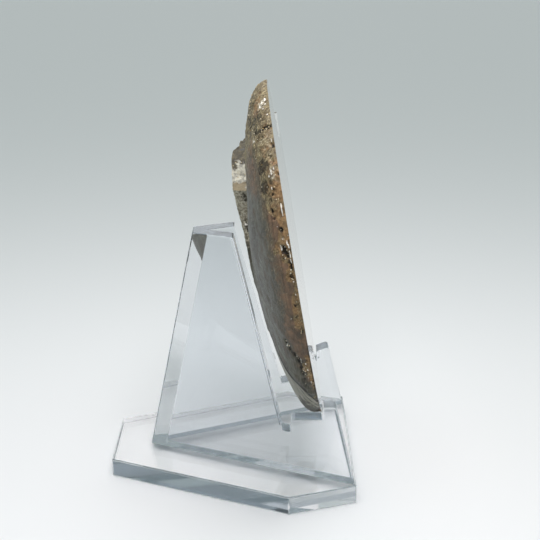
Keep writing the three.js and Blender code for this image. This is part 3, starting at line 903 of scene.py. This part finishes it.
def shell_surface(tree):
    """Ammonite shell turned to aragonite and calcite: a dark satin skin with fine growth lines across the whorl.

    Where the skin is worn or broken off, a duller tan and rust crust shows, gritty with crystal and small pits, and its
    glints are painted highlights in near-white colour.
    """
    place = in_millimetres(tree)
    along = add(tree, "UVMap", uv_map="coil")
    slanted = add(tree, "Mapping", {0: add(tree, "Mapping", {0: along, 3: (330, 52, 1)}), 2: (0, 0, -0.75)})
    # Streaks along the coil are strongest on the outer flank, growth lines across it nearer the coil's middle.
    inward = add(tree, "SeparateXYZ", along, out=1)
    scraped = add(tree, "MapRange SMOOTHSTEP", inward, 0.2, 0.42, 0.5, 0.06)
    grown = add(tree, "MapRange SMOOTHSTEP", inward, 0.2, 0.42, 0.35, 0.6)
    field = make_fields(
        tree,
        {
            "lines": (along, (420, 9, 1), 3, 0.6, 0.9),
            "broad": (along, (90, 3, 1), 3, 0.55, 0.3),
            "streaks": (along, (26, 110, 1), 3, 0.6, 1.1),
            "cloud": (place, 0.06, 4, 0.6, 0.8),
            "mottle": (place, 0.3, 5, 0.62, 0.5),
            "blotch": (place, 0.55, 4, 0.7, 1.0),
            "grain": (place, 1.3, 4, 0.7, 0.0),
            "grit": (place, 2.4, 2, 0.6, 0.3),
            "strokes": (along, (110, 230, 1), 2, 0.6, 0.6),
            "scores": (slanted, (0.5, 3.6, 1), 3, 0.6, 0.7),
        },
    )
    mark = ragged_marks(
        tree,
        field,
        {
            "worn": ("blotch", -0.4, 0.3), "warm": ("mottle", -0.28, 0.28), "crust": ("grain", -0.2, 0.2),
            "pale": ("blotch", -0.4, 0.3), "dark": ("grain", -0.35, 0.35), "pits": ("grain", -0.25, 0.25),
            "glint": ("grain", -0.3, 0.3), "later_shell_and_light": ("mottle", -0.1, 0.1), "line": ("grain", -0.2, 0.2),
        },
    )
    skin = lay_coats(
        tree,
        "48463c",
        (field["cloud"], 0.36, 0.62, 0, 1, "605e51"),
        (field["mottle"], 0.46, 0.68, 0, 0.75, "4c4135"),
        (field["broad"], 0.50, 0.72, 0, 0.6, "544e40"),
        (field["streaks"], 0.54, 0.68, 0, scraped, "74756d"),
        (field["streaks"], 0.46, 0.36, 0, scraped, "32322d"),
        (field["strokes"], 0.54, 0.66, 0, scraped, "7c7a6e"),
        (field["strokes"], 0.46, 0.36, 0, scraped, "2e2d26"),
        # The later shell is painted lighter, partly its own tone and partly painted light from the pale table below.
        (mark["later_shell_and_light"], 0.3, 0.7, 0, 0.75, "9f9d8f"),
        (field["lines"], 0.50, 0.64, 0, grown, "30302a"),
    )
    worn = lay_coats(
        tree,
        "564c3f",
        (field["blotch"], 0.38, 0.60, 0, 1, "796e59"),
        (field["mottle"], 0.50, 0.66, 0, 0.7, "473d33"),
        (field["streaks"], 0.52, 0.66, 0, 0.7, "352f28"),
        (field["streaks"], 0.46, 0.34, 0, 0.6, "9e9482"),
        (field["grain"], 0.50, 0.64, 0, 0.6, "3c352c"),
        (field["scores"], 0.56, 0.66, 0, 0.8, "a69c85"),
        (field["scores"], 0.44, 0.34, 0, 0.8, "2b261d"),
        (field["grit"], 0.34, 0.26, 0, 0.7, "ccc09f"),
    )
    rust = lay_coats(
        tree,
        "7c5f42",
        (field["mottle"], 0.38, 0.62, 0, 1, "a5845d"),
        (field["grain"], 0.48, 0.64, 0, 0.7, "4d3a28"),
        (field["grain"], 0.42, 0.30, 0, 0.5, "c4a874"),
        (field["grit"], 0.36, 0.28, 0, 0.6, "dcc391"),
    )
    stained = lay_coats(
        tree,
        "715b4b",
        (field["mottle"], 0.38, 0.62, 0, 1, "8a6f59"),
        (field["streaks"], 0.50, 0.64, 0, 0.6, "453a33"),
        (field["scores"], 0.56, 0.68, 0, 0.4, "887860"),
    )
    crust = lay_coats(
        tree,
        "6a5f49",
        (field["blotch"], 0.36, 0.62, 0, 1, "958866"),
        (field["mottle"], 0.50, 0.64, 0, 0.65, "4f4538"),
        (field["grain"], 0.50, 0.64, 0, 0.7, "40352a"),
        (field["grain"], 0.42, 0.30, 0, 0.6, "c9ba93"),
        (field["scores"], 0.45, 0.35, 0, 0.85, "2b241b"),
        (field["scores"], 0.57, 0.66, 0, 0.75, "d3c6a0"),
        (field["grit"], 0.64, 0.72, 0, 0.6, "2a231b"),
        (field["grit"], 0.35, 0.27, 0, 0.6, "ece0bf"),
        (mark["warm"], 0.35, 0.9, 0, 0.8, rust),
    )
    pale = lay_coats(
        tree, "cfc9b4", (field["grain"], 0.40, 0.60, 0, 1, "8a8370"), (field["grit"], 0.4, 0.3, 0, 0.8, "efebdc")
    )
    skin = lay_coats(
        tree,
        skin,
        (mark["worn"], 0.25, 0.75, 0, 0.92, worn),
        (mark["warm"], 0.1, 0.95, 0, 0.9, stained),
        (mark["crust"], 0.35, 0.65, 0, 0.92, crust),
        (mark["pale"], 0.25, 0.85, 0, 0.85, pale),
        (mark["dark"], 0.25, 0.85, 0, 0.8, "2b2822"),
        (mark["line"], 0.3, 0.7, 0, 0.9, "1d1c19"),
        (mark["pits"], 0.3, 0.8, 0, 0.9, "1b1813"),
        # Painted highlights: the glints are coloured near white.
        (mark["glint"], 0.35, 0.7, 0, 1, "fffbf0"),
    )
    bare = add(tree, "Math MAXIMUM", mark["crust"], mark["worn"], use_clamp=True)
    rough = add(tree, "MapRange SMOOTHSTEP", field["mottle"], 0.35, 0.65, 0.36, 0.52)
    rough = add(tree, "Math MULTIPLY_ADD", bare, 0.25, rough)
    shine = add(tree, "MapRange SMOOTHSTEP", mark["glint"], 0.35, 0.7, 1.0, 0.35)
    height = add(tree, "Math MULTIPLY", field["streaks"], scraped)
    height = add(tree, "Math MULTIPLY_ADD", field["lines"], grown, height)
    height = add(tree, "Math MULTIPLY_ADD", field["grain"], add(tree, "Math MULTIPLY_ADD", bare, 1.8, 0.5), height)
    height = add(tree, "Math MULTIPLY_ADD", field["scores"], add(tree, "Math MULTIPLY", bare, 1.6), height)
    return {
        "Base Color": skin, "Roughness": add(tree, "Math MULTIPLY", rough, shine), "IOR": 1.6,
        "Normal": add(tree, "Bump", {"Strength": 0.7, "Distance": 0.00022, "Height": height}),
        "Specular IOR Level": 0.08, "Coat Weight": 0.18, "Coat Roughness": 0.12,
    }


def cut_surface(tree):
    """Sawn and mirror-polished section: dark chamber walls, honey to ivory calcite in the chambers, pale shell walls.

    Near the mouth the whorl is filled with dull mud rock.
    """
    source = add(tree, "TexCoord", out="Object")
    axis = [(COIL_AXIS[0] - BASE_LENGTH / 2) * MM, COIL_AXIS[1] * MM, COIL_AXIS[2] * MM]
    flat = add(tree, "Mapping TEXTURE", source, axis, (0, -LEAN, 0), (MM, MM, MM))
    wander = add(tree, "TexNoise", {"Vector": flat, "Scale": 0.12, "Detail": 2.0}, out=1)
    shift = add(tree, "VectorMath SUBTRACT", wander, (0.5, 0.5, 0.5))
    bent = add(tree, "VectorMath MULTIPLY_ADD", shift, (1.6, 1.6, 1.6), flat)
    _, y, z = add(tree, "SeparateXYZ", flat, out=None)
    radius = add(tree, "VectorMath LENGTH", add(tree, "CombineXYZ", 0.2, y, z), out="Value")
    turn = add(tree, "Math ARCTAN2", add(tree, "Math MULTIPLY", z, -1), add(tree, "Math MULTIPLY", y, -1))

    # A point's place in the coil: whole numbers are the outer walls of the whorls.
    growth = add(tree, "Math LOGARITHM", add(tree, "Math DIVIDE", radius, SIDE_RADIUS), math.e)
    place = add(tree, "Math SUBTRACT", add(tree, "Math DIVIDE", growth, COIL_GROWTH), turn)
    place = add(tree, "Math DIVIDE", place, FULL_TURN)
    whorl = add(tree, "Math CEIL", place)
    inward = add(tree, "Math SUBTRACT", whorl, place)
    coil = add(tree, "Math MULTIPLY_ADD", whorl, FULL_TURN, turn)
    size = add(tree, "Math EXPONENT", add(tree, "Math MULTIPLY", coil, COIL_GROWTH))
    size = add(tree, "Math MULTIPLY", size, SIDE_RADIUS)
    to_outer = add(tree, "Math SUBTRACT", size, radius)
    to_inner = add(tree, "Math MULTIPLY_ADD", size, -math.exp(-COIL_GROWTH * FULL_TURN), radius)
    to_wall = add(tree, "Math MINIMUM", to_outer, to_inner)

    # Chamber walls bow towards the mouth, a little unevenly spaced.
    across = add(tree, "Math MULTIPLY_ADD", inward, 2, -1)
    bow = add(tree, "Math MULTIPLY_ADD", add(tree, "Math MULTIPLY", across, across), 0.16, -0.16)
    shake = add(tree, "TexNoise", {"Vector": flat, "Scale": 0.22, "Detail": 2.0, "Roughness": 0.55})
    ripple = add(tree, "Math MULTIPLY_ADD", shake, 0.1, -0.05)
    behind = add(tree, "Math ADD", add(tree, "Math ADD", coil, ripple), bow)
    uneven = add(tree, "Math SINE", add(tree, "Math MULTIPLY", behind, 3.7))
    chamber = add(tree, "Math MULTIPLY", behind, SEPTA_PER_TURN / FULL_TURN)
    chamber = add(tree, "Math MULTIPLY_ADD", uneven, 0.28, chamber)
    number = add(tree, "Math FLOOR", chamber)
    within = add(tree, "Math SUBTRACT", chamber, number)
    half = add(tree, "Math MINIMUM", within, add(tree, "Math SUBTRACT", 1, within))
    to_septum = add(tree, "Math MULTIPLY", half, add(tree, "Math MULTIPLY", radius, FULL_TURN / SEPTA_PER_TURN))
    last = math.radians(LAST_SEPTUM)
    chambered = add(tree, "MapRange SMOOTHSTEP", behind, last - 0.01, last + 0.01, 1, 0)
    beyond = add(tree, "MapRange SMOOTHSTEP", behind, last - 0.01, last + 0.01, 0, 99)
    to_septum = add(tree, "Math ADD", to_septum, beyond)
    depth = add(tree, "Math MINIMUM", to_wall, to_septum)

    pick = add(tree, "TexWhiteNoise 1D", {"W": add(tree, "Math ADD", number, 0.37)}, out=1)
    first, second, third = add(tree, "SeparateColor", pick, out=None)
    field = make_fields(
        tree,
        {"veins": (bent, 0.5, 5, 0.62, 1.2), "cloud": (bent, 0.13, 4, 0.6, 0.8), "crack": (bent, 0.055, 5, 0.6, 0.6)},
    )
    facet = add(tree, "SeparateColor", add(tree, "TexVoronoi", {"Vector": bent, "Scale": 0.75}, out=1))
    rusty = add(tree, "Math MULTIPLY", second, field["cloud"])
    lining_depth = add(tree, "MapRange", third, 0, 1, 0.7, 2.2)
    from_lining = add(tree, "MapRange SMOOTHSTEP", field["veins"], 0.3, 0.7, -0.3, 0.3)
    from_lining = add(tree, "Math ADD", add(tree, "Math DIVIDE", depth, lining_depth), from_lining)
    ring = add(tree, "MapRange SMOOTHSTEP", from_lining, 1.1, 1.4, 1, 0)
    ring = add(tree, "Math MULTIPLY", ring, add(tree, "MapRange SMOOTHSTEP", from_lining, 0.8, 1.0))
    crack = add(tree, "Math ABSOLUTE", add(tree, "Math SUBTRACT", field["crack"], 0.5))
    wall_width = add(tree, "MapRange", radius, 4, 60, 0.16, 0.62)
    at_septum = add(tree, "Math DIVIDE", to_septum, wall_width)
    at_wall = add(tree, "Math DIVIDE", to_wall, wall_width)
    tube = add(tree, "Math ABSOLUTE", add(tree, "Math SUBTRACT", add(tree, "Math DIVIDE", to_outer, size), 0.032))
    tube = add(tree, "Math MULTIPLY", add(tree, "MapRange SMOOTHSTEP", tube, 0.005, 0.008, 1, 0), chambered)

    veins = field["veins"]
    smoke = lay_coats(tree, "3a2a1e", (veins, 0.35, 0.65, 0, 1, "6d5238"))
    ivory = lay_coats(tree, "b9a583", (veins, 0.35, 0.65, 0, 1, "e6dcc4"))
    lining = lay_coats(tree, "a98a5c", (veins, 0.4, 0.6, 0, 1, "d9c9a6"))
    nacre = lay_coats(tree, "d8c8a8", (at_wall, 0.35, 0.6, 0, 1, "3b2a1c"))
    mud = lay_coats(
        tree,
        "7b6a52",
        (field["cloud"], 0.35, 0.62, 0, 1, "a3957a"),
        (veins, 0.48, 0.66, 0, 0.7, "594a38"),
        (facet, 0.72, 0.95, 0, 0.4, "cbbf9f"),
    )
    fill = lay_coats(
        tree,
        "7a4514",
        (veins, 0.35, 0.65, 0, 1, "c0873a"),
        (first, 0.40, 0.46, 0, 1, smoke),
        (first, 0.72, 0.78, 0, 1, ivory),
        (rusty, 0.28, 0.42, 0, 0.8, "8c3f1c"),
        (facet, 0.2, 0.9, 0, 0.22, "f0dcb0"),
        (from_lining, 1.15, 0.75, 0, 1, lining),
        (ring, 0, 1, 0, 0.7, "4a2c14"),
        (chambered, 1, 0, 0, 1, mud),
        (crack, 0.008, 0.0, 0, 0.75, "e9e2cf"),
        (at_septum, 0.62, 0.3, 0, 1, "2e2119"),
        (at_wall, 1.25, 0.9, 0, 1, nacre),
        (tube, 0, 1, 0, 0.8, "2a1c12"),
        (radius, 3.0, 1.2, 0, 1, "33231a"),
    )
    height = add(tree, "Math SUBTRACT", veins, add(tree, "MapRange SMOOTHSTEP", at_septum, 0.3, 0.62))
    return {
        "Base Color": fill, "Roughness": 0.045, "IOR": 1.62, "Coat Weight": 0.5, "Coat Roughness": 0.02,
        "Normal": add(tree, "Bump", {"Strength": 0.12, "Distance": 0.00005, "Height": height}),
    }


def break_surface(tree):
    """Broken rock and calcite at the mouth: dull and grainy, olive-brown with pale crystal and dark patches."""
    place = in_millimetres(tree)
    field = make_fields(
        tree,
        {
            "mottle": (place, 0.28, 5, 0.65, 0.8),
            "patch": (place, 0.7, 4, 0.65, 0.6),
            "grain": (place, 1.6, 4, 0.65, 0.0),
        },
    )
    mark = ragged_marks(
        tree,
        field,
        {
            "pale": ("patch", -0.35, 0.35), "dark": ("mottle", -0.3, 0.3), "warm": ("patch", -0.25, 0.25),
            "worn": ("grain", -0.1, 0.1),
        },
    )
    marble = lay_coats(
        tree, "d8d6c4", (field["patch"], 0.46, 0.62, 0, 0.8, "8b8a80"), (field["grain"], 0.4, 0.3, 0, 0.6, "eeede4")
    )
    tone = lay_coats(
        tree,
        "443f32",
        (field["mottle"], 0.38, 0.62, 0, 1, "655e4a"),
        (field["patch"], 0.52, 0.66, 0, 0.8, "3a3730"),
        (field["patch"], 0.42, 0.32, 0, 0.8, "8d8266"),
        (field["grain"], 0.5, 0.66, 0, 0.6, "3d362c"),
        (mark["warm"], 0.3, 0.8, 0, 0.8, "a5987a"),
        (mark["pale"], 0.35, 0.75, 0, 0.95, marble),
        (mark["dark"], 0.3, 0.9, 0, 0.85, "45474a"),
        (mark["worn"], 0.4, 0.6, 0, 1.0, "b0b6b3"),
    )
    bump = add(tree, "Bump", {"Strength": 0.8, "Distance": 0.0004, "Height": field["grain"]})
    return {"Base Color": tone, "Roughness": 0.6, "Normal": bump}


def crystal_surface(tree):
    """Small calcite crystals with flat faces that flash, from cream white to honey brown."""
    place = in_millimetres(tree)
    patch = make_fields(tree, {"patch": (place, 0.9, 2, 0.5, 0.0)})["patch"]
    tone = lay_coats(tree, "cdbb93", (patch, 0.45, 0.6, 0, 1, "f3ead2"), (patch, 0.42, 0.35, 0, 1, "8f7346"))
    return {"Base Color": tone, "Roughness": 0.08, "IOR": 1.6}


def grow_crystals(host):
    """Stands small crystals on the bare rock and crust of the fossil, by a Geometry Nodes tree, as one plain mesh."""
    tree = bpy.data.node_groups.new("calcite_crystals", "GeometryNodeTree")
    sockets = {}
    inputs = (
        ("Geometry", "NodeSocketGeometry", None), ("Crystals per square metre", "NodeSocketFloat", CRYSTAL_DENSITY),
        ("Smallest", "NodeSocketFloat", CRYSTAL_SIZES[0] * MM), ("Largest", "NodeSocketFloat", CRYSTAL_SIZES[1] * MM),
        ("Seed", "NodeSocketInt", CRYSTAL_SEED),
    )
    for name, kind, _ in inputs:
        sockets[name] = tree.interface.new_socket(name, in_out="INPUT", socket_type=kind)
    tree.interface.new_socket("Geometry", in_out="OUTPUT", socket_type="NodeSocketGeometry")
    source = add(tree, "NodeGroupInput", out=None)
    where = add(tree, "GeometryNodeInputNamedAttribute FLOAT", {0: "crystals"})
    density = add(tree, "Math MULTIPLY", where, source[1])
    strewn = {"Mesh": source[0], "Density": density, "Seed": source[4]}
    points = add(tree, "GeometryNodeDistributePointsOnFaces", strewn)
    prism = {"Vertices": 5, "Radius Top": 0.35, "Radius Bottom": 0.7, "Depth": 1.2}
    form = add(tree, "GeometryNodeMeshCone", prism)
    form = add(tree, "GeometryNodeTransform", {"Geometry": form, "Translation": (0, 0, -0.6)})
    turn = add(
        tree,
        "FunctionNodeRandomValue FLOAT_VECTOR",
        {0: (0, 0, 0), 1: (FULL_TURN, FULL_TURN, FULL_TURN), "Seed": source[4]},
    )
    size = add(tree, "FunctionNodeRandomValue FLOAT", {2: source[2], 3: source[3], "Seed": source[4]}, out=1)
    placed_forms = add(
        tree, "GeometryNodeInstanceOnPoints", {"Points": points, "Instance": form, "Rotation": turn, "Scale": size}
    )
    real = add(tree, "GeometryNodeRealizeInstances", placed_forms)
    real = add(tree, "GeometryNodeSetShadeSmooth", {"Geometry": real, "Shade Smooth": False})
    spar = new_material("calcite_spar", crystal_surface)
    done = add(tree, "GeometryNodeSetMaterial", {"Geometry": real, "Material": spar})
    add(tree, "NodeGroupOutput", done, out=None)

    rough = add_object("crystals_rough", host.data.copy())
    growth = rough.modifiers.new("crystals", "NODES")
    growth.node_group = tree
    for name, _, value in inputs[1:]:
        growth[sockets[name].identifier] = value
    crystals = finished_copy(rough, "calcite_crystals")
    drop(rough)
    return crystals


def take(piece, slot, *materials, node=None):
    """A finished piece gets its materials, and stands for a CAD node where one is named. Its slot is not used."""
    for material in materials:
        piece.data.materials.append(material)
    if node:
        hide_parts(node)
    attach(piece, "root")


acrylic = new_material("clear_cast_acrylic", CLEAR, DEPTH)
weld = new_material("solvent_weld", WELD)
upright, footprint = make_upright()
sawn = new_material("sawn_and_shaded_acrylic_edge", SAWN_AND_SHADED, DEPTH)
take(make_base(footprint), "acrylic_base", acrylic, weld, sawn, node="stand_base")
handled = new_material("handled_cast_acrylic", HANDLED, DEPTH)
take(upright, "acrylic_upright", handled, weld, node="stand_upright")
fossil = make_ammonite()
take(grow_crystals(fossil), "fossil_shell")
stone = [new_material("aragonite_shell", shell_surface), new_material("polished_section", cut_surface)]
take(fossil, "fossil_shell", *stone, new_material("broken_rock", break_surface), node="ammonite")


# Studio: pale table, light and camera


def make_table():
    bm = bmesh.new()
    signs = ((-1, -1), (1, -1), (1, 1), (-1, 1))
    bm.faces.new([bm.verts.new((x * TABLE_REACH, y * TABLE_REACH, -FLOOR_GAP)) for x, y in signs])
    table = as_object("table_top", bm)
    table.data.materials.append(new_material("pale_table", PALE_TABLE))


def make_world():
    """A soft room, paler towards its ceiling, with broad bright and dark areas that the acrylic reflects."""
    world = bpy.data.worlds.new("studio")
    bpy.context.scene.world = world
    world.use_nodes = True
    tree = world.node_tree
    tree.nodes.clear()
    toward = add(tree, "TexCoord", out="Generated")
    up = add(tree, "SeparateXYZ", toward, out=2)
    light = lay_coats(tree, ROOM_LOW, (up, 0.1, 0.75, 0, 1, ROOM_HIGH))
    for azimuth, elevation, full, none, tone, strength in ROOM_AREAS:
        turn, rise = math.radians(azimuth), math.radians(elevation)
        aim = (math.sin(turn) * math.cos(rise), math.cos(turn) * math.cos(rise), math.sin(rise))
        near = add(tree, "VectorMath DOT_PRODUCT", toward, aim, out="Value")
        cover = add(tree, "MapRange SMOOTHSTEP", near, math.cos(math.radians(none)), math.cos(math.radians(full)))
        bright = tuple(c * strength for c in colour(tone)[:3]) + (1.0,)
        light = add(tree, "Mix RGBA", {0: cover, 6: light, 7: bright}, out=2)
    back = add(tree, "Background", light, ROOM_STRENGTH)
    add(tree, "OutputWorld", back, out=None)


def add_light(name, place, aim, size, watts):
    light = bpy.data.lights.new(name, "AREA")
    light.shape = "RECTANGLE"
    light.size, light.size_y = size
    light.energy = watts
    lamp = add_object(name, light)
    lamp.location = place
    lamp.rotation_euler = (Vector(aim) - Vector(place)).to_track_quat("-Z", "Y").to_euler()
    return lamp


make_table()
make_world()
lamp = add_light("overhead_softbox", LAMP_PLACE, LAMP_AIM, LAMP_SIZE, LAMP_POWER)
lamp.data.color = colour(LAMP_TONE)[:3]
lamp.visible_camera = False

lens = bpy.data.cameras.new("camera")
lens.lens = CAMERA_LENS
lens.sensor_width = 36
lens.clip_start = 0.01
camera = add_object("camera", lens)
pan = Matrix.Rotation(CAMERA_PAN, 4, "Z")
aim = pan @ Matrix.Rotation(math.pi / 2 - CAMERA_DIP, 4, "X") @ Matrix.Rotation(CAMERA_ROLL, 4, "Z")
camera.matrix_world = Matrix.Translation(CAMERA_PLACE) @ aim
bpy.context.scene.camera = camera

# Light passes many faces of clear sheet on its way, and each counts as a bounce.
cycles = bpy.context.scene.cycles
cycles.max_bounces = 48
cycles.transmission_bounces = 48
cycles.glossy_bounces = 32
cycles.diffuse_bounces = 4
cycles.transparent_max_bounces = 16
cycles.blur_glossy = 0.0
bpy.context.scene.view_settings.view_transform = "Standard"
